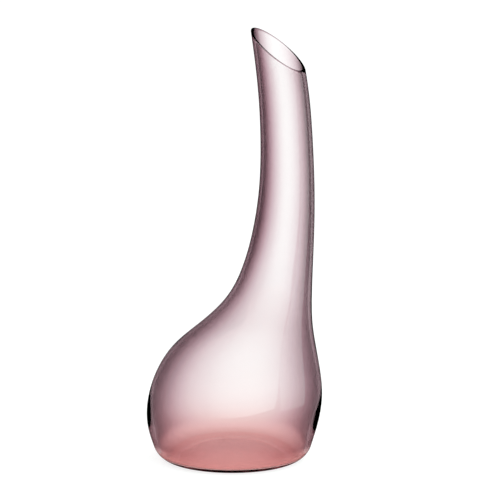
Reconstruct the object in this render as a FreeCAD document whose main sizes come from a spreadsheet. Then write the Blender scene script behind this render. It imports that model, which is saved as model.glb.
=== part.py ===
"""Wine decanter: one piece of rose-tinted blown glass with a wide, round belly standing on a foot ring.

The neck rises from one side of the belly, curves back over it and ends in a slanting, fire-polished mouth.
Frame: millimetres, +Z up, origin on the table at the foot's centre, +X towards the side the neck stands on.
The belly bulges towards -X, where the high point of the lip is too, and the low point of the lip is at +X.
"""

import FreeCAD, Part

import os

import Sketcher

OUTPUT_FOLDER = "parts"
NODE_NAME = "decanter_glass"

# Driving sizes: millimetres, and degrees for the slope of the mouth.
SIZES = (
    ("tip_height", 321.3, "table to the high point of the lip, before its edge is rounded"),
    ("foot_radius", 54.8, "body at the table, before its heel is rounded"),
    ("belly_level", 48.0, "height of the widest part"),
    ("belly_radius", 63.9, "outside radius of the widest part"),
    ("belly_lean", 2.4, "how far its centre stands off the foot's axis"),
    ("throat_level", 122.0, "height where the body has become the neck"),
    ("throat_radius", 31.9, "outside radius there"),
    ("throat_lean", 29.2, "how far its centre stands off the foot's axis"),
    ("neck_level", 210.0, "height where the neck stands furthest off the foot's axis"),
    ("neck_radius", 19.9, "outside radius there"),
    ("neck_lean", 44.2, "how far its centre stands off the foot's axis"),
    ("lip_radius", 16.6, "outside radius at the top of the blown neck"),
    ("lip_lean", 32.2, "how far its centre stands off the foot's axis"),
    ("lip_spare", 6.0, "length blown above the tip, which goes when the mouth is cut"),
    ("mouth_slope", 37.3, "angle of the mouth below the horizontal"),
    ("base_wall", 4.0, "wall just above the heel"),
    ("body_wall", 2.6, "wall of the belly and shoulder"),
    ("neck_wall", 2.2, "wall of the neck and lip"),
    ("floor_thickness", 4.0, "table up to the inside floor"),
    ("heel_rounding", 16.0, "outside radius between the foot and the side"),
    ("inside_rounding", 6.0, "inside radius between the floor and the side"),
    ("foot_ring_width", 4.0, "flat ring that the decanter stands on"),
    ("kick_up", 0.6, "height of the hollow under the foot"),
    ("lip_rounding", 0.9, "fire-polished edge of the mouth, inside and outside"),
)

# Stations up the vessel, each with its wall. One with no shares has its own level, radius and lean in SIZES.
# Any other gives how far those three have gone from the last such station towards the next.
STATIONS = (
    ("foot", None, "base_wall"),
    ("side", (0.500, 0.800, 0.000), "base_wall"),
    ("belly", None, "body_wall"),
    ("chest", (0.297, 0.150, 0.119), "body_wall"),
    ("shoulder", (0.541, 0.400, 0.321), "body_wall"),
    ("slope", (0.757, 0.716, 0.649), "body_wall"),
    ("throat", None, "body_wall"),
    ("neck_root", (0.273, 0.508, 0.493), "neck_wall"),
    ("lower_neck", (0.614, 0.808, 0.833), "neck_wall"),
    ("neck", None, "neck_wall"),
    ("mid_neck", (0.161, 0.215, 0.000), "neck_wall"),
    ("upper_neck", (0.322, 0.346, 0.056), "neck_wall"),
    ("under_collar", (0.492, 0.445, 0.176), "neck_wall"),
    ("collar", (0.661, 0.573, 0.378), "neck_wall"),
    ("mouth", (0.831, 0.767, 0.666), "neck_wall"),
    ("lip", None, "neck_wall"),
)

CUT_MARGIN = 20.0  # how far the mouth's cutting profile runs past the glass
LARGEST_LIP_ROUNDING = 0.4  # as a share of the neck's wall, so that inside and outside never meet

# How a sketch numbers its own origin and axes, and the points of its elements.
ORIGIN_POINT = (-1, 1)
H_AXIS, V_AXIS = -1, -2
START, END, MIDDLE = 1, 2, 3

Vector = FreeCAD.Vector
UP_IN_SKETCH = Vector(0, 1, 0)


def make_size_sheet(doc):
    """A sheet with one row for each driving size, its meaning beside its value."""
    sheet = doc.addObject("Spreadsheet::Sheet", "sizes")
    for row, (alias, value, meaning) in enumerate(SIZES, start=1):
        sheet.set(f"A{row}", meaning)
        sheet.set(f"B{row}", str(value))
        sheet.setAlias(f"B{row}", alias)
    doc.recompute()
    return sheet


def station_formulas():
    """Each station's name and the formulas for its level, radius and lean."""
    own = {name: tuple(f"sizes.{name}_{q}" for q in ("level", "radius", "lean")) for name, _, _ in STATIONS}
    own["foot"] = ("0", "sizes.foot_radius", "0")
    own["lip"] = ("sizes.tip_height + sizes.lip_spare", "sizes.lip_radius", "sizes.lip_lean")
    named = [name for name, shares, _ in STATIONS if shares is None]
    formulas = []
    for name, shares, _ in STATIONS:
        if shares is None:
            below, above = name, named[(named.index(name) + 1) % len(named)]
            formulas.append((name, own[name]))
        else:
            ends = zip(shares, own[below], own[above])
            formulas.append((name, tuple(f"{low} + {share} * ({high} - {low})" for share, low, high in ends)))
    return formulas


def level_wall(side, index, names):
    """The level wall that gives the station's wall square to the glass, where the outline slopes.

    side is -1 for the outline at lean - radius and +1 for the one at lean + radius. Its slope is taken
    between the stations below and above.
    """
    low, high = names[max(index - 1, 0)], names[min(index + 1, len(names) - 1)]
    run = f"({high}_lean - {low}_lean + {side} * ({high}_radius - {low}_radius))"
    rise = f"({high}_level - {low}_level)"
    return f"sizes.{STATIONS[index][2]} * sqrt(1 + ({run} / {rise})^2)"


def make_station_sheet(doc):
    """A sheet of what follows from the driving sizes: the stations outside and inside, heel and tip."""
    sheet = doc.addObject("Spreadsheet::Sheet", "stations")
    names = [name for name, _, _ in STATIONS]

    def put(column, row, alias, formula):
        sheet.set(f"{column}{row}", "=" + formula)
        sheet.setAlias(f"{column}{row}", alias)

    for row, (name, (level, radius, lean)) in enumerate(station_formulas(), start=1):
        put("A", row, f"{name}_level", level)
        put("B", row, f"{name}_radius", radius)
        put("C", row, f"{name}_lean", lean)
    for row, name in enumerate(names, start=1):
        put("D", row, f"{name}_low_wall", level_wall(-1, row - 1, names))
        put("E", row, f"{name}_high_wall", level_wall(1, row - 1, names))
        put("F", row, f"{name}_bore", f"{name}_radius - ({name}_low_wall + {name}_high_wall) / 2")
        put("G", row, f"{name}_bore_lean", f"{name}_lean + ({name}_low_wall - {name}_high_wall) / 2")

    # The heel is an arc from the flat foot to the splayed side, and meets both without a crease.
    row = len(names) + 1
    put("A", row, "splay", "(side_radius - foot_radius) / side_level")
    put("B", row, "climb", "1 - splay / sqrt(1 + splay^2)")
    put("C", row, "draw_in", "splay - sqrt(1 + splay^2)")
    put("A", row + 1, "heel_level", "sizes.heel_rounding * climb")
    put("B", row + 1, "heel_radius", "foot_radius + splay * heel_level")
    put("C", row + 1, "flat_radius", "foot_radius + sizes.heel_rounding * draw_in")
    put("D", row + 1, "hollow_radius", "flat_radius - sizes.foot_ring_width")
    put("A", row + 2, "floor_bore", "foot_bore + splay * sizes.floor_thickness")
    put("B", row + 2, "heel_bore_level", "sizes.floor_thickness + sizes.inside_rounding * climb")
    put("C", row + 2, "heel_bore", "foot_bore + splay * heel_bore_level")
    put("D", row + 2, "floor_radius", "floor_bore + sizes.inside_rounding * draw_in")
    top_slope = "(lip_lean - lip_radius - mouth_lean + mouth_radius) / (lip_level - mouth_level)"
    put("A", row + 3, "tip_x", f"lip_lean - lip_radius - sizes.lip_spare * {top_slope}")
    doc.recompute()
    return sheet


def add_sketch(body, name, role):
    """An empty sketch on one of the body's origin planes."""
    sketch = body.newObject("Sketcher::SketchObject", name)
    plane = next(item for item in body.Origin.OriginFeatures if item.Role == role)
    sketch.AttachmentSupport = [(plane, "")]
    sketch.MapMode = "FlatFace"
    return sketch


def drive(sketch, name, kind, elements, formula):
    """A dimension of the sketch that follows a formula."""
    value = float(sketch.evalExpression(formula))
    index = sketch.addConstraint(Sketcher.Constraint(kind, *elements, value))
    sketch.renameConstraint(index, name)
    sketch.setExpression(f"Constraints.{name}", formula)


def add_station_circle(body, name, level, radius, lean):
    """A level circle round the vessel. Its three sizes are formulas."""
    sketch = add_sketch(body, name, "XY_Plane")
    sketch.addGeometry(Part.Circle(Vector(0, 0, 0), Vector(0, 0, 1), 10.0), False)
    sketch.addConstraint(Sketcher.Constraint("Coincident", 0, MIDDLE, *ORIGIN_POINT))
    drive(sketch, "radius", "Radius", (0,), radius)
    sketch.setExpression("AttachmentOffset.Base.x", lean)
    sketch.setExpression("AttachmentOffset.Base.z", level)
    return sketch


def add_loft(doc, body, kind, name, first, side):
    """A smooth loft from a first circle through every station above the foot.

    side is "outside" or "inside", and kind says whether the loft adds glass or takes it away.
    """
    circles = [add_station_circle(body, f"{side}_heel", *first)]
    for station, _, _ in STATIONS[1:]:
        radius, lean = ("radius", "lean") if side == "outside" else ("bore", "bore_lean")
        sizes = (f"stations.{station}_{quantity}" for quantity in ("level", radius, lean))
        circles.append(add_station_circle(body, f"{side}_{station}", *sizes))
    doc.recompute()
    loft = body.newObject(kind, name)
    loft.Profile = circles[0]
    loft.Sections = circles[1:]
    loft.Refine = False
    doc.recompute()
    return loft


def rising_arc(start, end, radius):
    """The arc that leaves start level and curves up to end. Its centre stands right above start."""
    centre = start + UP_IN_SKETCH * radius
    halfway = ((end - centre).normalize() - UP_IN_SKETCH).normalize()
    return Part.Arc(start, centre + halfway * radius, end)


def add_profile(body, name, elements, joins):
    """A closed profile on the plane that the vessel is a mirror image across.

    joins lists the ends that meet, each as an element and its end and another element and its end.
    """
    sketch = add_sketch(body, name, "XZ_Plane")
    for element in elements:
        sketch.addGeometry(element, False)
    for join in joins:
        sketch.addConstraint(Sketcher.Constraint("Coincident", *join))
    return sketch


def put_on_axis(sketch, axis, *points):
    """Holds points of the sketch on one of its axes, each an element and which of its points."""
    for element, point in points:
        sketch.addConstraint(Sketcher.Constraint("PointOnObject", element, point, axis))


def turn(doc, body, kind, name, sketch):
    """A full turn of a profile round the vertical axis."""
    doc.recompute()
    turned = body.newObject(kind, name)
    turned.Profile = sketch
    turned.ReferenceAxis = (sketch, ["V_Axis"])
    turned.Angle = 360.0
    turned.Refine = False
    doc.recompute()


def add_foot(doc, body, sizes, stations):
    """The foot: a low dome hollowed out underneath, a flat ring to stand on and the rounded heel."""
    apex, under = Vector(0, sizes.kick_up), Vector(stations.hollow_radius / 2, sizes.kick_up * 0.75)
    ring_start, ring_end = Vector(stations.hollow_radius, 0), Vector(stations.flat_radius, 0)
    heel, top = Vector(stations.heel_radius, stations.heel_level), Vector(0, stations.heel_level)
    ring, arc, lid, axis, dome = range(5)
    elements = (
        Part.LineSegment(ring_start, ring_end),
        rising_arc(ring_end, heel, sizes.heel_rounding),
        Part.LineSegment(heel, top),
        Part.LineSegment(top, apex),
        Part.Arc(ring_start, under, apex),
    )
    joins = (
        (ring, END, arc, START),
        (arc, END, lid, START),
        (lid, END, axis, START),
        (axis, END, dome, END),
        (dome, START, ring, START),
    )
    sketch = add_profile(body, "foot_profile", elements, joins)
    put_on_axis(sketch, H_AXIS, (ring, START), (ring, END))
    put_on_axis(sketch, V_AXIS, (lid, END), (axis, END), (dome, MIDDLE))
    sketch.addConstraint(Sketcher.Constraint("Horizontal", lid))
    drive(sketch, "ring_inside", "DistanceX", (*ORIGIN_POINT, ring, START), "stations.hollow_radius")
    drive(sketch, "ring_outside", "DistanceX", (*ORIGIN_POINT, ring, END), "stations.flat_radius")
    drive(sketch, "heel_out", "DistanceX", (*ORIGIN_POINT, arc, END), "stations.heel_radius")
    drive(sketch, "heel_up", "DistanceY", (*ORIGIN_POINT, arc, END), "stations.heel_level")
    drive(sketch, "heel_rounding", "Radius", (arc,), "sizes.heel_rounding")
    drive(sketch, "kick_up", "DistanceY", (*ORIGIN_POINT, axis, END), "sizes.kick_up")
    turn(doc, body, "PartDesign::Revolution", "foot", sketch)


def add_floor(doc, body, sizes, stations):
    """The bottom of the space inside: a flat floor that curves up into the side."""
    floor_centre = Vector(0, sizes.floor_thickness)
    floor_edge = Vector(stations.floor_radius, sizes.floor_thickness)
    heel, top = Vector(stations.heel_bore, stations.heel_bore_level), Vector(0, stations.heel_bore_level)
    floor, arc, lid, axis = range(4)
    elements = (
        Part.LineSegment(floor_centre, floor_edge),
        rising_arc(floor_edge, heel, sizes.inside_rounding),
        Part.LineSegment(heel, top),
        Part.LineSegment(top, floor_centre),
    )
    joins = tuple((element, END, (element + 1) % 4, START) for element in range(4))
    sketch = add_profile(body, "floor_profile", elements, joins)
    put_on_axis(sketch, V_AXIS, (floor, START), (lid, END))
    sketch.addConstraint(Sketcher.Constraint("Horizontal", floor))
    sketch.addConstraint(Sketcher.Constraint("Horizontal", lid))
    drive(sketch, "floor_up", "DistanceY", (*ORIGIN_POINT, floor, START), "sizes.floor_thickness")
    drive(sketch, "floor_out", "DistanceX", (*ORIGIN_POINT, floor, END), "stations.floor_radius")
    drive(sketch, "heel_out", "DistanceX", (*ORIGIN_POINT, arc, END), "stations.heel_bore")
    drive(sketch, "heel_up", "DistanceY", (*ORIGIN_POINT, arc, END), "stations.heel_bore_level")
    drive(sketch, "inside_rounding", "Radius", (arc,), "sizes.inside_rounding")
    turn(doc, body, "PartDesign::Groove", "floor", sketch)


def add_mouth_cut(doc, body):
    """Takes off everything above the slanting mouth, a plane through the tip."""
    corners = tuple(Vector(x, y) for x, y in ((-1, 0), (1, 0), (1, 1), (-1, 1)))
    mouth, far, top, near = range(4)
    elements = tuple(Part.LineSegment(corners[i], corners[(i + 1) % 4]) for i in range(4))
    joins = tuple((element, END, (element + 1) % 4, START) for element in range(4))
    sketch = add_profile(body, "mouth_profile", elements, joins)
    sketch.setExpression("AttachmentOffset.Base.x", "stations.tip_x")
    sketch.setExpression("AttachmentOffset.Base.y", "sizes.tip_height")
    sketch.setExpression("AttachmentOffset.Rotation.Angle", "-sizes.mouth_slope")
    put_on_axis(sketch, H_AXIS, (mouth, START), (mouth, END))
    for kind, element in (("Horizontal", top), ("Vertical", far), ("Vertical", near)):
        sketch.addConstraint(Sketcher.Constraint(kind, element))
    margin, across = str(CUT_MARGIN), f"{CUT_MARGIN} + 4 * sizes.lip_radius"
    height = f"{CUT_MARGIN} + 2 * sizes.lip_radius"
    drive(sketch, "before_tip", "DistanceX", (mouth, START, *ORIGIN_POINT), margin)
    drive(sketch, "past_tip", "DistanceX", (*ORIGIN_POINT, mouth, END), across)
    drive(sketch, "above_mouth", "DistanceY", (far, START, far, END), height)
    doc.recompute()
    cut = body.newObject("PartDesign::Pocket", "mouth")
    cut.Profile = sketch
    cut.Type = "Length"
    cut.SideType = "Symmetric"
    cut.setExpression("Length", across)
    cut.Refine = False
    doc.recompute()


def add_fire_polish(doc, body, sizes):
    """Rounds the inside and outside edges of the mouth."""
    glass = body.Tip
    rim = [
        f"Edge{index}"
        for index, edge in enumerate(glass.Shape.Edges, start=1)
        if edge.isClosed() and edge.BoundBox.ZMin > sizes.neck_level
    ]
    if len(rim) != 2:
        raise RuntimeError(f"the mouth has {len(rim)} edges, not an inside and an outside one")
    polish = body.newObject("PartDesign::Fillet", "fire_polish")
    polish.Base = (glass, rim)
    largest = f"{LARGEST_LIP_ROUNDING} * sizes.neck_wall"
    polish.setExpression("Radius", f"min(sizes.lip_rounding; {largest})")
    polish.Refine = False
    doc.recompute()


def make_decanter(doc, sizes, stations):
    """The whole vessel as one body."""
    body = doc.addObject("PartDesign::Body", NODE_NAME)
    body.Label = NODE_NAME
    add_foot(doc, body, sizes, stations)
    outside_heel = ("stations.heel_level", "stations.heel_radius", "0")
    add_loft(doc, body, "PartDesign::AdditiveLoft", "blown_form", outside_heel, "outside")
    inside_heel = ("stations.heel_bore_level", "stations.heel_bore", "0")
    add_loft(doc, body, "PartDesign::SubtractiveLoft", "cavity", inside_heel, "inside")
    add_floor(doc, body, sizes, stations)
    add_mouth_cut(doc, body)
    add_fire_polish(doc, body, sizes)
    return body


def check(doc, body):
    """Stops if anything failed to build."""
    for item in doc.Objects:
        if "Invalid" in item.State or "Error" in item.State:
            raise RuntimeError(f"{item.Label} failed: {item.State}")
    shape = body.Shape
    if shape.isNull() or not shape.isValid() or len(shape.Solids) != 1 or shape.Volume <= 0:
        raise RuntimeError(f"{body.Label} isn't one valid solid")


def main():
    doc = FreeCAD.newDocument("wine_decanter")
    sizes = make_size_sheet(doc)
    stations = make_station_sheet(doc)
    body = make_decanter(doc, sizes, stations)
    check(doc, body)
    os.makedirs(OUTPUT_FOLDER, exist_ok=True)
    body.Shape.exportStep(os.path.join(OUTPUT_FOLDER, f"{body.Label}.step"))


main()
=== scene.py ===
import math

import bpy
import numpy as np
from bpy.props import FloatProperty, FloatVectorProperty, PointerProperty
from mathutils import Matrix, Vector


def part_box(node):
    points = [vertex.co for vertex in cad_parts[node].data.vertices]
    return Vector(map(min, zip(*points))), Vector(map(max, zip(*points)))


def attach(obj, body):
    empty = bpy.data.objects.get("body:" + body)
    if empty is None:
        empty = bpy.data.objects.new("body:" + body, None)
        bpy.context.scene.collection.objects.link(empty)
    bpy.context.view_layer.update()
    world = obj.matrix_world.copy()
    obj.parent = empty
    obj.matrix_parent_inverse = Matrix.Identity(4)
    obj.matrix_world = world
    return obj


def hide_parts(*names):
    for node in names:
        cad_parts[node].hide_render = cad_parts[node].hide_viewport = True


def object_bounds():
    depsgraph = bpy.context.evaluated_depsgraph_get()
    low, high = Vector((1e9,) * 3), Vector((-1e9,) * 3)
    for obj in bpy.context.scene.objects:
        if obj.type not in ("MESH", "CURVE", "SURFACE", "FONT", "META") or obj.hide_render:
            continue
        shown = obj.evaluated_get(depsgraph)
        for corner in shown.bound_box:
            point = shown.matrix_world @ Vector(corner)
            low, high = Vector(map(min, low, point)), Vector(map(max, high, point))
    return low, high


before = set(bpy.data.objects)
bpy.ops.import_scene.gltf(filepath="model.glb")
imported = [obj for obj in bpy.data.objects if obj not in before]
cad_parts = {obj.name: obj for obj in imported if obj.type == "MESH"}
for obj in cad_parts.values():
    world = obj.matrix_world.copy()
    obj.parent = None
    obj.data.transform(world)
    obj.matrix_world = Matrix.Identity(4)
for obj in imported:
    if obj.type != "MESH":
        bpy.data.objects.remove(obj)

bl_info = {
    "name": "Wine Decanter",
    "version": (1, 0, 0),
    "blender": (4, 5, 0),
    "location": "3D View > Sidebar > Decanter",
    "description": "A blown glass wine decanter with a leaning neck, and a studio to see it in",
    "category": "Add Mesh",
}

GLASS_NODE = "decanter_glass"
CAD_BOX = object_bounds()
MM = 0.001

# The most that the blown glass may stand off its CAD node's box.
MISFIT_LIMIT = 1 * MM

# Stations up the vessel, each with its wall. One with no shares has its own level, radius and lean among
# the sizes. Any other gives how far those three have gone from the last such station towards the next.
STATIONS = (
    ("foot", None, "base_wall"),
    ("side", (0.500, 0.800, 0.000), "base_wall"),
    ("belly", None, "body_wall"),
    ("chest", (0.297, 0.150, 0.119), "body_wall"),
    ("shoulder", (0.541, 0.400, 0.321), "body_wall"),
    ("slope", (0.757, 0.716, 0.649), "body_wall"),
    ("throat", None, "body_wall"),
    ("neck_root", (0.273, 0.508, 0.493), "neck_wall"),
    ("lower_neck", (0.614, 0.808, 0.833), "neck_wall"),
    ("neck", None, "neck_wall"),
    ("mid_neck", (0.161, 0.215, 0.000), "neck_wall"),
    ("upper_neck", (0.322, 0.346, 0.056), "neck_wall"),
    ("under_collar", (0.492, 0.445, 0.176), "neck_wall"),
    ("collar", (0.661, 0.573, 0.378), "neck_wall"),
    ("mouth", (0.831, 0.767, 0.666), "neck_wall"),
    ("lip", None, "neck_wall"),
)

# Rows of the surface in each stretch of the profile, and its columns round the vessel.
ROWS = {
    "under": 16,
    "ring": 4,
    "heel": 24,
    "outside": 176,
    "rim": 15,
    "inside": 168,
    "cove": 16,
    "floor": 8,
}
COLUMNS = 192

# Times that x is put back in to find where a skin crosses the mouth's plane.
MOUTH_ROUNDS = 12
# Shares of the tip's height between which the way of the wall just below the mouth is measured.
BELOW_MOUTH = (0.93, 0.95)

# Stops of a ramp of shades, and of the ramp that holds the outline.
SHADE_STOPS = 16
OUTLINE_STOPS = 24
# Metres that 1 stands for in the ramp that holds the outline, whose numbers have to be under 1.
OUTLINE_SCALE = 0.1
# How much of the wall's lean the stain answers to.
LEAN_SHARE = 0.5
# From this squared cosine of its tilt on, a surface counts as more and more level.
LEVEL_COSINE = 0.85
# Shares of the floor's thickness between which a level surface turns from underside to inside floor.
INSIDE_FLOOR = (0.6, 0.9)
# Height above the inside floor at which the stain starts to show.
CLEAR_RIM = 1 * MM
# The belly's stain turns into the neck's between these shares of the throat's and of the neck's level.
NECK_STAIN_FROM, NECK_STAIN_TO = 0.8, 0.9
# Blush heights above the table at which the blush stops fading.
BLUSH_REACH = 4

# Light runs a long way inside a glass wall, so it may bounce this often in all, and this often by gloss.
BOUNCES = 32
GLOSSY_BOUNCES = 16

FLOOR_SIDES = 96

# Each softbox: the degrees that it stands to the right of the camera and above the horizon, its width and
# height in metres, its share of the softbox radiance, and how bright it is at shares of its width, from its
# left edge as the lamp sees it.
SOFTBOXES = {
    "front_softbox": (8.5, 23, 5.2, 3.4, 1.0, ((0.0, 0.0), (0.35, 0.7), (0.6, 1.0), (1.0, 1.0))),
    "side_softbox": (82, 20, 2.0, 3.2, 0.6, ((0.0, 1.0), (1.0, 1.0))),
}
SOFTBOX_DISTANCE = 2.2
SOFTBOX_AIM = (0, 0, 0.15)
SOFTBOX_TINT = "#dcfff4"


def linear(hex_colour):
    """The linear red, green and blue of an sRGB colour such as "#d9c2c8"."""
    channels = [int(hex_colour[i:i + 2], 16) / 255 for i in (1, 3, 5)]
    return tuple(c / 12.92 if c <= 0.04045 else ((c + 0.055) / 1.055) ** 2.4 for c in channels)


def length(name, millimetres, description):
    """A size in the sidebar, given here in millimetres and kept in metres."""
    return FloatProperty(
        name=name,
        description=description,
        default=millimetres * MM,
        min=0.0,
        subtype="DISTANCE",
        unit="LENGTH",
        precision=4,
    )


def colour(name, hex_colour, description):
    """A colour in the sidebar, given here as an sRGB hex value and kept linear."""
    return FloatVectorProperty(
        name=name,
        description=description,
        default=linear(hex_colour),
        size=3,
        min=0.0,
        max=1.0,
        subtype="COLOR",
    )


def in_degrees(name, degrees, description):
    """An angle in the sidebar, given here in degrees and kept in radians."""
    return FloatProperty(
        name=name,
        description=description,
        default=math.radians(degrees),
        subtype="ANGLE",
        unit="ROTATION",
    )


def strength(name, default, description):
    """A plain number in the sidebar, such as a strength."""
    return FloatProperty(name=name, description=description, default=default, min=0.0)


class DecanterSizes(bpy.types.PropertyGroup):
    """Sizes of the blown vessel."""

    tip_height: length("Tip height", 321.3, "Table to the top of the lip, before its edge is rounded")
    foot_radius: length("Foot radius", 54.8, "Body at the table, before its heel is rounded")
    belly_level: length("Belly level", 48.0, "Height of the widest part")
    belly_radius: length("Belly radius", 63.9, "Outside radius of the widest part")
    belly_lean: length("Belly lean", 2.4, "How far the belly's centre stands off the foot's axis")
    throat_level: length("Throat level", 122.0, "Height where the body has become the neck")
    throat_radius: length("Throat radius", 31.9, "Outside radius at the throat")
    throat_lean: length("Throat lean", 29.2, "How far the throat's centre stands off the foot's axis")
    neck_level: length("Neck level", 210.0, "Height where the neck stands furthest off the foot's axis")
    neck_radius: length("Neck radius", 19.9, "Outside radius of the neck there")
    neck_lean: length("Neck lean", 44.2, "How far the neck's centre stands off the foot's axis")
    lip_radius: length("Lip radius", 16.6, "Outside radius at the top of the blown neck")
    lip_lean: length("Lip lean", 32.2, "How far the lip's centre stands off the foot's axis")
    lip_spare: length("Lip spare", 6.0, "Length blown above the tip, which goes when the mouth is cut")
    base_wall: length("Base wall", 4.0, "Wall just above the heel")
    body_wall: length("Body wall", 2.6, "Wall of the belly and shoulder")
    neck_wall: length("Neck wall", 2.2, "Wall of the neck and lip")
    floor_thickness: length("Floor", 4.0, "Table up to the inside floor")
    heel_rounding: length("Heel rounding", 16.0, "Outside radius between the foot and the side")
    inside_rounding: length("Inside rounding", 6.0, "Inside radius between the floor and the side")
    foot_ring_width: length("Foot ring width", 4.0, "Flat ring that the decanter stands on")
    kick_up: length("Kick-up", 0.6, "Height of the hollow under the foot")
    lip_polish: length("Lip polish", 1.1, "How far the fire-polished edge of the mouth bulges")
    mouth_slope: in_degrees("Mouth slope", 37.3, "Angle of the mouth below the horizontal")


class GlassFinish(bpy.types.PropertyGroup):
    """Colour and clarity of the rose glass."""

    rose: colour("Rose", "#c2a3ad", "What one measure of the stain in the glass's skin lets by")
    belly_stain: strength("Belly stain", 0.22, "Stain of the belly, growing with the view's slant")
    belly_edge: strength("Belly edge", 1.35, "Stain of the belly, growing with the slant squared")
    neck_stain: strength("Neck stain", 1.15, "Stain of the neck, growing with the view's slant")
    neck_edge: strength("Neck edge", 0.6, "Stain of the neck, growing with the slant squared")
    # Painted shade: the outlines darken the skin towards a neutral dark where it turns out of sight, for the
    # dark surroundings that the edges of the glass show.
    belly_outline_shade: strength("Belly outline", 1.3, "Grey where the belly's skin turns out of sight")
    neck_outline_shade: strength("Neck outline", 3.0, "Grey where the neck's skin turns out of sight")
    # Painted shade: the neck is darker on its -X side and lighter on its +X side, for the way the light
    # falls.
    painted_side_shade: strength("Lopsided", 0.25, "How much more stain the neck has at -X, and less at +X")
    haze: strength("Haze", 0.03, "Grey that is everywhere in the skin")
    blush: colour("Blush", "#e1625b", "What one measure of the foot's warmer stain lets by")
    floor_blush: strength("Floor blush", 0.1, "How many measures of blush the inside floor has")
    foot_blush: strength("Foot blush", 0.34, "How many measures of blush the skin has at the table")
    blush_height: length("Blush height", 17.0, "Height in which the skin's blush fades to a third")
    depth: colour("Depth", "#aa2761", "Colour that the thickness of the glass takes on")
    density: strength("Density", 22.0, "How strongly the thickness colours what is behind it, per metre")
    ior: FloatProperty(
        name="IOR",
        description="Refractive index of the glass",
        default=1.5,
        min=1.0,
        max=2.0,
    )


class StudioSettings(bpy.types.PropertyGroup):
    """Camera, lamps and floor."""

    camera_azimuth: in_degrees("Camera azimuth", 26.06, "Turn of the camera round the decanter")
    camera_elevation: in_degrees("Camera elevation", 10.08, "How far the camera looks down")
    camera_distance: length("Camera distance", 2500.0, "From the camera to the point it looks at")
    camera_side: length("Camera side", 12.98, "How far right of the foot's centre the camera looks")
    camera_height: length("Camera height", 156.6, "How high above the table the camera looks")
    lens: FloatProperty(
        name="Lens",
        description="Focal length of the camera",
        default=246.1,
        min=1.0,
        subtype="DISTANCE_CAMERA",
        unit="CAMERA",
    )
    floor_radius: length("Floor radius", 12000.0, "How far the pale floor reaches")
    floor_colour: colour("Floor", "#8c8c8c", "Colour that the opal floor reflects")
    floor_light: strength("Floor light", 0.8, "Radiance of the floor's own light")
    sky: strength("Sky", 1.05, "Strength of the even light from all round")
    softbox: strength("Softbox", 2.0, "Radiance of the large front softbox")


def natural_spline(knots, values):
    """The natural cubic spline through values at knots, as a function of an array of levels.

    Between knots k and k+1, h apart, with second derivatives m and shares b = (x - k) / h and a = 1 - b:
    a v_k + b v_k+1 + ((a^3 - a) m_k + (b^3 - b) m_k+1) h^2 / 6. m is 0 at both ends.
    """
    knots, values = np.asarray(knots, float), np.asarray(values, float)
    h = np.diff(knots)
    slopes = np.diff(values) / h
    inner = np.diag(2 * (h[:-1] + h[1:])) + np.diag(h[1:-1], 1) + np.diag(h[1:-1], -1)
    bend = np.zeros(len(knots))
    bend[1:-1] = np.linalg.solve(inner, 6 * np.diff(slopes))

    def at(x):
        x = np.asarray(x, float)
        k = np.clip(np.searchsorted(knots, x) - 1, 0, len(h) - 1)
        b = (x - knots[k]) / h[k]
        a = 1 - b
        curve = ((a**3 - a) * bend[k] + (b**3 - b) * bend[k + 1]) * h[k] ** 2 / 6
        return a * values[k] + b * values[k + 1] + curve

    return at


def station_table(s):
    """Level, radius, lean and wall of every station, as arrays, from the sizes."""
    own = {
        "foot": (0.0, s.foot_radius, 0.0),
        "belly": (s.belly_level, s.belly_radius, s.belly_lean),
        "throat": (s.throat_level, s.throat_radius, s.throat_lean),
        "neck": (s.neck_level, s.neck_radius, s.neck_lean),
        "lip": (s.tip_height + s.lip_spare, s.lip_radius, s.lip_lean),
    }
    named = [name for name, shares, _ in STATIONS if shares is None]
    rows = []
    for name, shares, wall in STATIONS:
        if shares is None:
            below, above = name, named[(named.index(name) + 1) % len(named)]
            row = own[name]
        else:
            low, high = np.array(own[below]), np.array(own[above])
            row = low + np.array(shares) * (high - low)
        rows.append((*row, getattr(s, wall)))
    return np.array(rows).T


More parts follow.
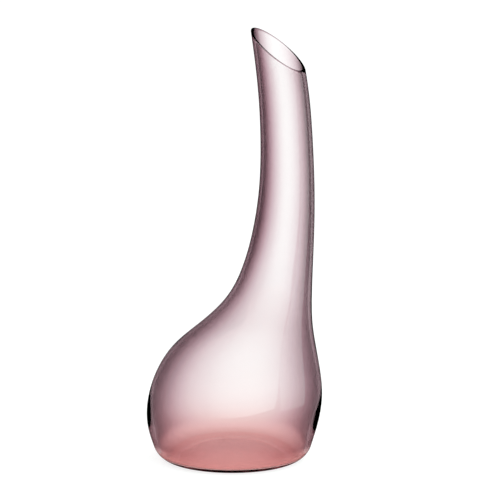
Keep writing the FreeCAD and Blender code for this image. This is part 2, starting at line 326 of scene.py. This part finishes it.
class Vessel:
    """The outline of the vessel: level circles whose centre and radius change with the level."""

    def __init__(self, s):
        level, radius, lean, wall = station_table(s)
        low, high = self.level_walls(level, radius, lean, wall)
        bore, bore_lean = radius - (low + high) / 2, lean + (low - high) / 2

        # the heel is an arc that leaves the flat foot level and meets the splayed side without a crease
        splay = (radius[1] - radius[0]) / level[1]
        climb, draw_in = 1 - splay / math.hypot(1, splay), splay - math.hypot(1, splay)
        self.heel_angle = math.acos(1 - climb)
        self.heel_level = s.heel_rounding * climb
        self.flat_radius = s.foot_radius + s.heel_rounding * draw_in
        self.hollow_radius = self.flat_radius - s.foot_ring_width
        self.cove_level = s.floor_thickness + s.inside_rounding * climb
        self.floor_radius = bore[0] + splay * s.floor_thickness + s.inside_rounding * draw_in

        heel_radius = s.foot_radius + splay * self.heel_level
        cove_radius = bore[0] + splay * self.cove_level
        outside_levels = np.concatenate(([self.heel_level], level[1:]))
        inside_levels = np.concatenate(([self.cove_level], level[1:]))
        self.outside = (
            natural_spline(outside_levels, np.concatenate(([0.0], lean[1:]))),
            natural_spline(outside_levels, np.concatenate(([heel_radius], radius[1:]))),
        )
        self.inside = (
            natural_spline(inside_levels, np.concatenate(([0.0], bore_lean[1:]))),
            natural_spline(inside_levels, np.concatenate(([cove_radius], bore[1:]))),
        )
        top_slope = ((lean - radius)[-1] - (lean - radius)[-2]) / (level[-1] - level[-2])
        self.tip = (lean[-1] - radius[-1] - s.lip_spare * top_slope, s.tip_height)
        self.fall = math.tan(s.mouth_slope)

    @staticmethod
    def level_walls(level, radius, lean, wall):
        """The level wall on the -X and +X sides that gives the stated wall square to the glass.

        wall * sqrt(1 + slope^2), with each outline's slope taken between the stations below and above.
        """
        last = len(level) - 1
        below = np.clip(np.arange(last + 1) - 1, 0, last)
        above = np.clip(np.arange(last + 1) + 1, 0, last)
        rise = level[above] - level[below]
        walls = []
        for side in (-1, 1):
            edge = lean + side * radius
            walls.append(wall * np.sqrt(1 + ((edge[above] - edge[below]) / rise) ** 2))
        return walls

    @staticmethod
    def ring(skin, level, angle):
        """Points of a skin at levels and angles: (lean + radius cos a, radius sin a, level)."""
        lean, radius = skin[0](level), skin[1](level)
        return np.stack((lean + radius * np.cos(angle), radius * np.sin(angle), level + 0 * angle), -1)

    def mouth_level(self, skin, angle, drop):
        """Level where a skin meets the mouth's plane, lowered by drop, at each angle.

        The plane is z = tip_z - drop - fall (x - tip_x). Its crossing is found by putting x back in.
        """
        level = np.full_like(angle, self.tip[1] - drop)
        for _ in range(MOUTH_ROUNDS):
            x = skin[0](level) + skin[1](level) * np.cos(angle)
            level = self.tip[1] - drop - self.fall * (x - self.tip[0])
        return level

    def surface(self, s):
        """The whole skin of the glass as rows of points from under the foot, over the lip, to the floor.

        Each row goes once round the vessel. Its rows follow the profile: the dome under the foot
        z = kick (1 - (r / hollow)^2), the flat ring, the heel's arc, the outside, the lip's half ellipse
        m + cos t (a - b) / 2 + sin t depth w, the inside, the arc into the floor, and the floor.
        """
        angle = np.linspace(0, 2 * math.pi, COLUMNS, endpoint=False)[None, :]

        def turned(radius, level):
            """Rings round the foot's axis, one for each radius and level."""
            radius, level = radius[:, None], level[:, None]
            return np.stack((radius * np.cos(angle), radius * np.sin(angle), level + 0 * angle), -1)

        def arc(radius, size, level, count, backwards=False):
            """Rings up an arc whose radius is size. It starts flat, at a radius and a level of the vessel."""
            t = np.linspace(0, self.heel_angle, count)
            t = t[::-1] if backwards else t
            return turned(radius + size * np.sin(t), level + size * (1 - np.cos(t)))

        out = np.linspace(0, 1, ROWS["under"] + 1)[1:]
        under = turned(self.hollow_radius * out, s.kick_up * (1 - out**2))
        ring = np.linspace(self.hollow_radius, self.flat_radius, ROWS["ring"] + 1)[1:]
        foot = turned(ring, np.zeros_like(ring))
        heel = arc(self.flat_radius, s.heel_rounding, 0.0, ROWS["heel"] + 1)[1:]

        # the lip stands on the mouth's plane, so the two skins stop short of it by the lip's depth
        near_top = self.tip[1] * np.array(BELOW_MOUTH)
        lean = float(np.diff(self.inside[0](near_top))[0] / np.diff(near_top)[0])
        wall_way = np.array((lean, 0, 1)) / math.hypot(lean, 1)
        drop = s.lip_polish * (wall_way[2] + self.fall * wall_way[0])
        up = np.linspace(0, 1, ROWS["outside"] + 1)[1:, None]
        top = self.mouth_level(self.outside, angle, drop)
        outside = self.ring(self.outside, self.heel_level + (top - self.heel_level) * up, angle)
        down = np.linspace(1, 0, ROWS["inside"])[:, None]
        top = self.mouth_level(self.inside, angle, drop)
        inside = self.ring(self.inside, self.cove_level + (top - self.cove_level) * down, angle)
        t = np.linspace(0, math.pi, ROWS["rim"] + 2)[1:-1, None, None]
        middle, half = (outside[-1:] + inside[:1]) / 2, (outside[-1:] - inside[:1]) / 2
        rim = middle + np.cos(t) * half + np.sin(t) * s.lip_polish * wall_way

        cove = arc(self.floor_radius, s.inside_rounding, s.floor_thickness, ROWS["cove"] + 1, True)[1:]
        inward = np.linspace(1, 0, ROWS["floor"] + 1)[1:-1]
        floor = turned(self.floor_radius * inward, np.full_like(inward, s.floor_thickness))
        return np.concatenate((under, foot, heel, outside, rim, inside, cove, floor))


def closed_mesh(name, rows, start, end):
    """A closed mesh from rows of points that each go once round, with a pole point at each end.

    Square i, j has the corners (i, j), (i, j+1), (i+1, j+1), (i+1, j). A fan of triangles closes each pole.
    """
    count, across, _ = rows.shape
    points = np.concatenate((rows.reshape(-1, 3), [start, end]))
    grid = np.arange(count * across).reshape(count, across)
    after = np.roll(grid, -1, axis=1)
    quads = np.stack((grid[:-1], after[:-1], after[1:], grid[1:]), -1).reshape(-1, 4)
    poles = np.full(across, count * across)
    first = np.stack((poles, after[0], grid[0]), -1)
    last = np.stack((poles + 1, grid[-1], after[-1]), -1)
    triangles = np.concatenate((first, last))

    mesh = bpy.data.meshes.new(name)
    mesh.vertices.add(len(points))
    mesh.vertices.foreach_set("co", points.astype(np.float32).ravel())
    corners = np.concatenate((quads.ravel(), triangles.ravel())).astype(np.int32)
    starts = np.concatenate((np.arange(len(quads)) * 4, len(quads) * 4 + np.arange(len(triangles)) * 3))
    mesh.loops.add(len(corners))
    mesh.loops.foreach_set("vertex_index", corners)
    mesh.polygons.add(len(starts))
    mesh.polygons.foreach_set("loop_start", starts.astype(np.int32))
    mesh.update(calc_edges=True)
    if mesh.validate():
        raise RuntimeError(f"{name} has faces that Blender had to mend")
    mesh.shade_smooth()
    piece = bpy.data.objects.new(name, mesh)
    bpy.context.scene.collection.objects.link(piece)
    return piece


def add_node(tree, kind, settings=None, links=None):
    """A node of a material, with its settings and what is linked to its inputs.

    A setting is an input's value where the node has an input of that name, and else its own property.
    """
    node = tree.nodes.new(kind)
    for name, value in (settings or {}).items():
        if name in node.inputs:
            node.inputs[name].default_value = value
        else:
            setattr(node, name, value)
    for name, output in (links or {}).items():
        tree.links.new(output, node.inputs[name])
    return node


def set_stops(ramp, stops):
    """Give a colour ramp its stops, each a position and a colour, from the first to the last."""
    first, last = ramp.elements[0], ramp.elements[1]
    for element, (position, shade) in ((first, stops[0]), (last, stops[-1])):
        element.position, element.color = float(position), shade
    for position, shade in stops[1:-1]:
        ramp.elements.new(float(position)).color = shade


class Shades:
    """Nodes that work out the shade of each place on the glass, added one by one to a material's tree."""

    def __init__(self, tree):
        self.tree = tree

    def put(self, socket, value):
        """Set an input to a number, or link it to another node's output."""
        if isinstance(value, float):
            socket.default_value = value
        else:
            self.tree.links.new(value, socket)

    def maths(self, operation, first, second):
        """The result of an operation on two values, each a number or another node's output."""
        node = add_node(self.tree, "ShaderNodeMath", {"operation": operation})
        self.put(node.inputs[0], first)
        self.put(node.inputs[1], second)
        return node.outputs[0]

    def rising(self, low, high, value):
        """0 up to low, 1 from high on, and t^2 (3 - 2 t) between them, t being the share of the way."""
        settings = {"interpolation_type": "SMOOTHSTEP", "From Min": low, "From Max": high}
        return add_node(self.tree, "ShaderNodeMapRange", settings, {"Value": value}).outputs["Result"]

    def colours(self, shade_at, value):
        """The shade that shade_at gives for a value from 0 to 1, on a ramp."""
        ramp = add_node(self.tree, "ShaderNodeValToRGB", links={"Fac": value})
        levels = np.linspace(0, 1, SHADE_STOPS)
        shades = shade_at(levels[:, None])
        set_stops(ramp.color_ramp, [(x, (*shade, 1.0)) for x, shade in zip(levels, shades)])
        return ramp.outputs["Color"]

    def mixed(self, blend, share, first, second):
        """Two colours mixed by a share."""
        node = add_node(self.tree, "ShaderNodeMix", {"data_type": "RGBA", "blend_type": blend})
        share_in, first_in, second_in = node.inputs[0], node.inputs[6], node.inputs[7]
        self.put(share_in, share)
        self.put(first_in, first)
        self.put(second_in, second)
        return node.outputs[2]

    def both(self, first, second):
        """What is left of white light after two colours in a row."""
        return self.mixed("MULTIPLY", 1.0, first, second)

    def slant(self, normal):
        """The squared sine of the angle between the view and the normal, whose Z is cut by LEAN_SHARE.

        The cut makes the stain answer more to the turn of the wall round the vessel than to its lean.
        """
        cut = add_node(self.tree, "ShaderNodeVectorMath", {"operation": "MULTIPLY"}, {0: normal})
        cut.inputs[1].default_value = (1.0, 1.0, LEAN_SHARE)
        settings, links = {"operation": "NORMALIZE"}, {0: cut.outputs[0]}
        unit = add_node(self.tree, "ShaderNodeVectorMath", settings, links)
        settings, links = {"Blend": 0.5}, {"Normal": unit.outputs[0]}
        facing = add_node(self.tree, "ShaderNodeLayerWeight", settings, links).outputs["Facing"]
        cosine = self.maths("SUBTRACT", 1.0, facing)
        return self.maths("SUBTRACT", 1.0, self.maths("MULTIPLY", cosine, cosine))

    def side_shade_factor(self, vessel, side_shade_amount, x, height):
        """A factor over 1 on the vessel's -X side and under 1 on its +X side, which paints shade on the -X
        side.

        It is 1 - amount (x - lean) / radius. A ramp over the height holds lean in red and radius in green.
        """
        top = vessel.tip[1]
        shares = np.linspace(0, 1, OUTLINE_STOPS)
        levels = np.clip(shares * top, vessel.heel_level, top)
        ramp = add_node(self.tree, "ShaderNodeValToRGB", links={"Fac": self.maths("DIVIDE", height, top)})
        leans = vessel.outside[0](levels) / OUTLINE_SCALE
        radii = vessel.outside[1](levels) / OUTLINE_SCALE
        stops = [(share, (lean, radius, 0.0, 1.0)) for share, lean, radius in zip(shares, leans, radii)]
        set_stops(ramp.color_ramp, stops)
        curve = add_node(self.tree, "ShaderNodeSeparateColor", links={"Color": ramp.outputs["Color"]})
        offset = self.maths("SUBTRACT", self.maths("DIVIDE", x, OUTLINE_SCALE), curve.outputs["Red"])
        share = self.maths("DIVIDE", offset, curve.outputs["Green"])
        return self.maths("SUBTRACT", 1.0, self.maths("MULTIPLY", share, side_shade_amount))


def skin_colour(tree, finish, sizes, vessel):
    """The base colour of the glass, as the product of three shades.

    The shader lets by its square root each time that light crosses the skin. With x the squared sine of the
    angle between the view and the surface's normal, the shades are:
    - the wall's rose^(a x + b x^2) exp(-c x^4 - haze), where a, b and c change from those of the belly to
      those of the neck, x falls to 0 towards the floor, and in the neck the stain's x grows towards -X as
      painted shade on that side; exp(-c x^4) is painted shade, a neutral dark where the skin turns out of
      sight, for the dark surroundings that the edges of the glass show, and the haze is the glass's even
      tint;
    - the blush of the inside floor, blush^(floor blush);
    - the blush of the foot, blush^(foot blush exp(-z / blush height)).
    """
    shades = Shades(tree)
    rose, blush = np.array(finish.rose), np.array(finish.blush)
    own_place = add_node(tree, "ShaderNodeTexCoord").outputs["Object"]
    place = add_node(tree, "ShaderNodeSeparateXYZ", links={"Vector": own_place}).outputs
    height = place["Z"]
    normal = add_node(tree, "ShaderNodeNewGeometry").outputs["Normal"]
    tilt = add_node(tree, "ShaderNodeSeparateXYZ", links={"Vector": normal}).outputs["Z"]

    def stain(a, b):
        """What the rose stain lets by, as a function of x."""
        return lambda x: rose ** (a * x + b * x**2)

    def edge_shade_and_haze(c):
        """What the painted outline shade and the even haze let by, as a function of x."""
        return lambda x: np.exp(-c * x**4 - finish.haze) * np.ones(3)

    above_floor = shades.rising(sizes.floor_thickness + CLEAR_RIM, sizes.heel_rounding, height)
    slant = shades.maths("MULTIPLY", shades.slant(normal), above_floor)
    low, high = NECK_STAIN_FROM * sizes.throat_level, NECK_STAIN_TO * sizes.neck_level
    up_neck = shades.rising(low, high, height)
    # painted shade: more stain on the neck's -X side and less on its +X side
    side_shade_amount = shades.maths("MULTIPLY", up_neck, finish.painted_side_shade)
    stained = shades.maths("MULTIPLY", slant, shades.side_shade_factor(vessel, side_shade_amount, place["X"], height))
    belly = shades.colours(stain(finish.belly_stain, finish.belly_edge), stained)
    neck = shades.colours(stain(finish.neck_stain, finish.neck_edge), stained)
    # painted shade: these ramps darken the skin where it turns out of sight; they also hold the even haze
    belly_painted_shade = shades.colours(edge_shade_and_haze(finish.belly_outline_shade), slant)
    neck_painted_shade = shades.colours(edge_shade_and_haze(finish.neck_outline_shade), slant)
    wall = shades.both(
        shades.mixed("MIX", up_neck, belly, neck),
        shades.mixed("MIX", up_neck, belly_painted_shade, neck_painted_shade),
    )

    level = shades.rising(LEVEL_COSINE, 1.0, shades.maths("MULTIPLY", tilt, tilt))
    low, high = (share * sizes.floor_thickness for share in INSIDE_FLOOR)
    inside_floor = shades.maths("MULTIPLY", level, shades.rising(low, high, height))
    floor = shades.colours(lambda x: blush ** (finish.floor_blush * x), inside_floor)

    settings = {"From Min": 0.0, "From Max": BLUSH_REACH * finish.blush_height}
    lift = add_node(tree, "ShaderNodeMapRange", settings, {"Value": height}).outputs["Result"]
    foot = shades.colours(lambda x: blush ** (finish.foot_blush * np.exp(-BLUSH_REACH * x)), lift)
    return shades.both(shades.both(wall, floor), foot)


def rose_blown_glass(finish, sizes, vessel):
    """Blown soda-lime glass, stained rose in its skin and a little through its thickness.

    Mouth-blown glass has no grain: it is clear and perfectly glossy. The eye sees its stain most where it
    looks along the skin, so the sides of the neck and belly are deep rose and their middle is almost clear.
    Its colour also holds painted shade: a neutral dark where the skin turns out of sight, and a darker -X
    side of the neck.
    """
    material = bpy.data.materials.new("rose_blown_glass")
    material.use_nodes = True
    tree = material.node_tree
    tree.nodes.clear()
    glass = add_node(
        tree,
        "ShaderNodeBsdfPrincipled",
        {"Roughness": 0.0, "IOR": finish.ior, "Transmission Weight": 1.0},
        {"Base Color": skin_colour(tree, finish, sizes, vessel)},
    )
    settings = {"Color": (*finish.depth, 1.0), "Density": finish.density}
    thickness = add_node(tree, "ShaderNodeVolumeAbsorption", settings)
    links = {"Surface": glass.outputs["BSDF"], "Volume": thickness.outputs["Volume"]}
    add_node(tree, "ShaderNodeOutputMaterial", links=links)
    return material


def lit_acrylic(studio):
    """The opal acrylic sheet of a light table.

    It is matt and white and lit evenly from below, so it hardly takes a shadow.
    """
    material = bpy.data.materials.new("lit_opal_acrylic")
    material.use_nodes = True
    tree = material.node_tree
    tree.nodes.clear()
    sheet = add_node(
        tree,
        "ShaderNodeBsdfPrincipled",
        {
            "Base Color": (*studio.floor_colour, 1.0),
            "Roughness": 1.0,
            "Specular IOR Level": 0.0,
            "Emission Color": (1.0, 1.0, 1.0, 1.0),
            "Emission Strength": studio.floor_light,
        },
    )
    add_node(tree, "ShaderNodeOutputMaterial", links={"Surface": sheet.outputs["BSDF"]})
    return material


class DECANTER_OT_make_glass(bpy.types.Operator):
    """Blow the decanter: one closed piece of rose glass in place of the CAD node"""

    bl_idname = "decanter.make_glass"
    bl_label = "Glass"
    bl_options = {"REGISTER", "UNDO"}

    def execute(self, context):
        sizes, finish = context.scene.decanter_sizes, context.scene.decanter_finish
        vessel = Vessel(sizes)
        rows = vessel.surface(sizes)
        under_foot, on_floor = (0, 0, sizes.kick_up), (0, 0, sizes.floor_thickness)
        glass = closed_mesh("blown_glass", rows, under_foot, on_floor)
        glass.data.materials.append(rose_blown_glass(finish, sizes, vessel))
        own_box = np.array((rows.min((0, 1)), rows.max((0, 1))))
        misfit = np.abs(own_box - np.array(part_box(GLASS_NODE))).max()
        if misfit > MISFIT_LIMIT:
            raise RuntimeError(f"the glass is {misfit / MM:.2f} mm off the box of {GLASS_NODE}")
        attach(glass, "root")
        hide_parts(GLASS_NODE)
        return {"FINISHED"}


def direction(azimuth, elevation):
    """The unit vector (sin a cos e, -cos a cos e, sin e), towards an azimuth a and an elevation e."""
    return Vector((
        math.sin(azimuth) * math.cos(elevation),
        -math.cos(azimuth) * math.cos(elevation),
        math.sin(elevation),
    ))


def facing(aim, back, distance):
    """The place and turn of a lamp or camera that looks at aim from a distance along back."""
    turn = back.to_track_quat("Z", "Y").to_matrix().to_4x4()
    return Matrix.Translation(aim + back * distance) @ turn


def add_softbox(name, azimuth, elevation, width, height, radiance, fade):
    """A rectangular lamp that the glass mirrors, but which isn't seen directly or through the glass.

    Its power is radiance * pi * area, and its brightness fades across it.
    """
    lamp = bpy.data.lights.new(name, "AREA")
    lamp.shape = "RECTANGLE"
    lamp.size, lamp.size_y = width, height
    lamp.energy = radiance * math.pi * width * height
    lamp.color = linear(SOFTBOX_TINT)
    lamp.use_nodes = True
    tree = lamp.node_tree
    spot = add_node(tree, "ShaderNodeNewGeometry").outputs["Parametric"]
    across = add_node(tree, "ShaderNodeSeparateXYZ", links={"Vector": spot}).outputs["X"]
    ramp = add_node(tree, "ShaderNodeValToRGB", links={"Fac": across})
    set_stops(ramp.color_ramp, [(share, (level, level, level, 1.0)) for share, level in fade])
    tree.links.new(ramp.outputs["Color"], tree.nodes["Emission"].inputs["Strength"])
    softbox = bpy.data.objects.new(name, lamp)
    softbox.matrix_world = facing(Vector(SOFTBOX_AIM), direction(azimuth, elevation), SOFTBOX_DISTANCE)
    softbox.visible_camera = softbox.visible_transmission = False
    bpy.context.scene.collection.objects.link(softbox)


class DECANTER_OT_set_stage(bpy.types.Operator):
    """Lay the pale floor and set up the soft lights and the camera"""

    bl_idname = "decanter.set_stage"
    bl_label = "Stage"
    bl_options = {"REGISTER", "UNDO"}

    def execute(self, context):
        scene, studio = context.scene, context.scene.decanter_studio
        scene.view_settings.view_transform = "Standard"
        scene.cycles.max_bounces = scene.cycles.transmission_bounces = BOUNCES
        scene.cycles.glossy_bounces = GLOSSY_BOUNCES
        self.lay_floor(studio)
        self.light_sky(scene, studio)
        for name, (right, up, width, height, share, fade) in SOFTBOXES.items():
            azimuth = studio.camera_azimuth + math.radians(right)
            add_softbox(name, azimuth, math.radians(up), width, height, share * studio.softbox, fade)
        self.place_camera(scene, studio)
        return {"FINISHED"}

    def lay_floor(self, studio):
        """A round floor at the CAD box's underside: a disc of the floor's radius.

        The gloss of the glass doesn't mirror it, so the glass keeps its dark outline.
        """
        turn = np.linspace(0, 2 * math.pi, FLOOR_SIDES, endpoint=False)
        rim = np.stack((np.cos(turn), np.sin(turn), 0 * turn), -1) * studio.floor_radius
        rim[:, 2] = CAD_BOX[0][2]
        mesh = bpy.data.meshes.new("floor")
        mesh.from_pydata(rim.tolist(), [], [list(range(FLOOR_SIDES))])
        mesh.materials.append(lit_acrylic(studio))
        floor = bpy.data.objects.new("floor", mesh)
        floor.visible_glossy = False
        bpy.context.scene.collection.objects.link(floor)

    def light_sky(self, scene, studio):
        """Even white light from all round.

        The gloss of the glass doesn't mirror it, so the glass keeps its dark outline.
        """
        world = bpy.data.worlds.new("sky")
        world.use_nodes = True
        background = world.node_tree.nodes["Background"]
        background.inputs["Color"].default_value = (1.0, 1.0, 1.0, 1.0)
        background.inputs["Strength"].default_value = studio.sky
        world.cycles_visibility.glossy = False
        scene.world = world

    def place_camera(self, scene, studio):
        """The camera looks at a point beside the foot's axis from its azimuth, elevation and distance."""
        azimuth = studio.camera_azimuth
        right = Vector((math.cos(azimuth), math.sin(azimuth), 0))
        aim = right * studio.camera_side + Vector((0, 0, studio.camera_height))
        data = bpy.data.cameras.new("camera")
        data.lens, data.sensor_width = studio.lens, 36.0
        data.clip_start, data.clip_end = 0.05, 100.0
        camera = bpy.data.objects.new("camera", data)
        back = direction(azimuth, studio.camera_elevation)
        camera.matrix_world = facing(aim, back, studio.camera_distance)
        scene.collection.objects.link(camera)
        scene.camera = camera


class DECANTER_PT_sidebar(bpy.types.Panel):
    """The decanter's sizes, its finish and its studio"""

    bl_idname = "DECANTER_PT_sidebar"
    bl_label = "Wine Decanter"
    bl_space_type = "VIEW_3D"
    bl_region_type = "UI"
    bl_category = "Decanter"

    def draw(self, context):
        layout, scene = self.layout, context.scene
        groups = (
            (scene.decanter_sizes, DECANTER_OT_make_glass),
            (scene.decanter_finish, None),
            (scene.decanter_studio, DECANTER_OT_set_stage),
        )
        for group, operator in groups:
            box = layout.box()
            for name in group.__annotations__:
                box.prop(group, name)
            if operator:
                box.operator(operator.bl_idname)


CLASSES = (
    DecanterSizes,
    GlassFinish,
    StudioSettings,
    DECANTER_OT_make_glass,
    DECANTER_OT_set_stage,
    DECANTER_PT_sidebar,
)


def register():
    for cls in CLASSES:
        bpy.utils.register_class(cls)
    bpy.types.Scene.decanter_sizes = PointerProperty(type=DecanterSizes)
    bpy.types.Scene.decanter_finish = PointerProperty(type=GlassFinish)
    bpy.types.Scene.decanter_studio = PointerProperty(type=StudioSettings)


def unregister():
    del bpy.types.Scene.decanter_studio
    del bpy.types.Scene.decanter_finish
    del bpy.types.Scene.decanter_sizes
    for cls in reversed(CLASSES):
        bpy.utils.unregister_class(cls)


def main():
    register()
    bpy.ops.decanter.make_glass()
    bpy.ops.decanter.set_stage()


if __name__ == "__main__":
    main()
